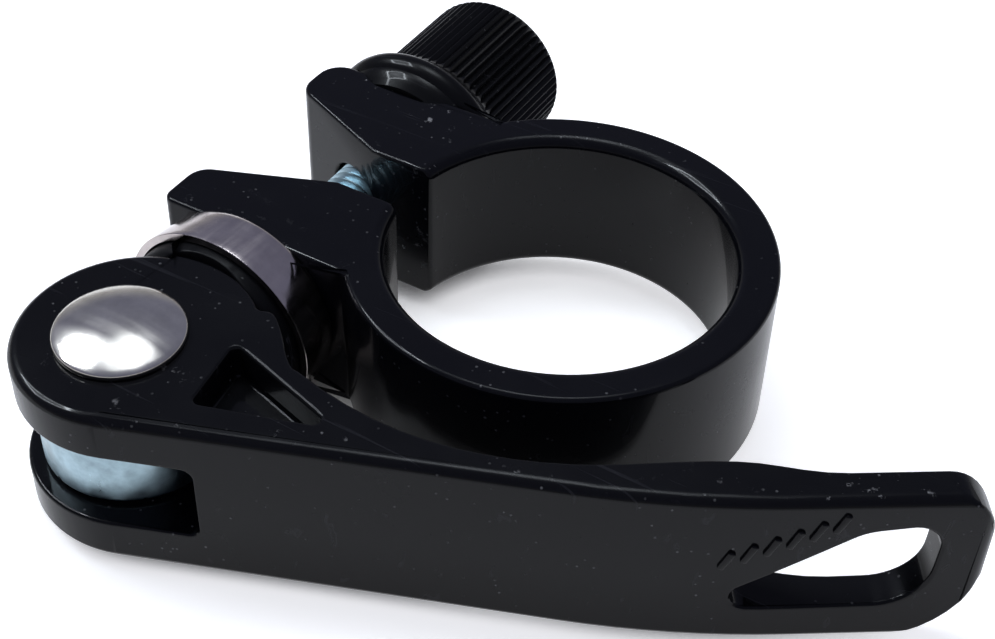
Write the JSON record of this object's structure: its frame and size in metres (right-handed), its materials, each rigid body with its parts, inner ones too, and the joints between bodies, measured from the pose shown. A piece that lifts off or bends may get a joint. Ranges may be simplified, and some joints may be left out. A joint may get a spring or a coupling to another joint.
{
  "type": "quick-release seatpost clamp",
  "caption": "Split collar that a cam lever with a finger hole squeezes shut round a bicycle seat tube, with a knurled adjusting nut.",
  "frame": {"origin": "on the collar's bore axis, at half the collar's height", "axes": "+Z along the bore, out of the side that shows the pivot pin's domed head; the lugs point to -X; +Y runs along the bolt from the lever to the thumb nut"},
  "size_m": [0.0791, 0.0718, 0.0202],
  "materials": {
    "collar_paint": "black gloss paint on aluminium alloy, with small chips",
    "lever_paint": "black gloss paint on cast aluminium alloy, with scratches",
    "pin_steel": "brushed stainless steel with a domed head",
    "bolt_zinc": "bright blue-white zinc plate on steel",
    "cup_steel": "polished pressed steel",
    "saddle_plastic": "black moulded nylon, rubbed shiny by the cam",
    "nut_paint": "black anodised aluminium alloy, straight knurl",
    "ring_nylon": "natural nylon"
  },
  "bodies": {
    "clamp": {"collar": "collar_paint", "eye_bolt": "bolt_zinc", "cup_washer": "cup_steel", "saddle": "saddle_plastic"},
    "lever": {"lever": "lever_paint", "pivot_pin": "pin_steel"},
    "nut": {"thumb_nut": "nut_paint", "lock_ring": "ring_nylon"}
  },
  "joints": [
    {"name": "lever_swing", "type": "hinge", "parent": "clamp", "child": "lever", "pos_m": [-0.0252, -0.0305, 0], "axis": [0, 0, 1], "range_deg": [-180, 0]},
    {"name": "nut_spin", "type": "hinge", "parent": "clamp", "child": "nut", "pos_m": [-0.0252, 0.0134, 0], "axis": [0, 1, 0], "continuous": true}
  ]
}
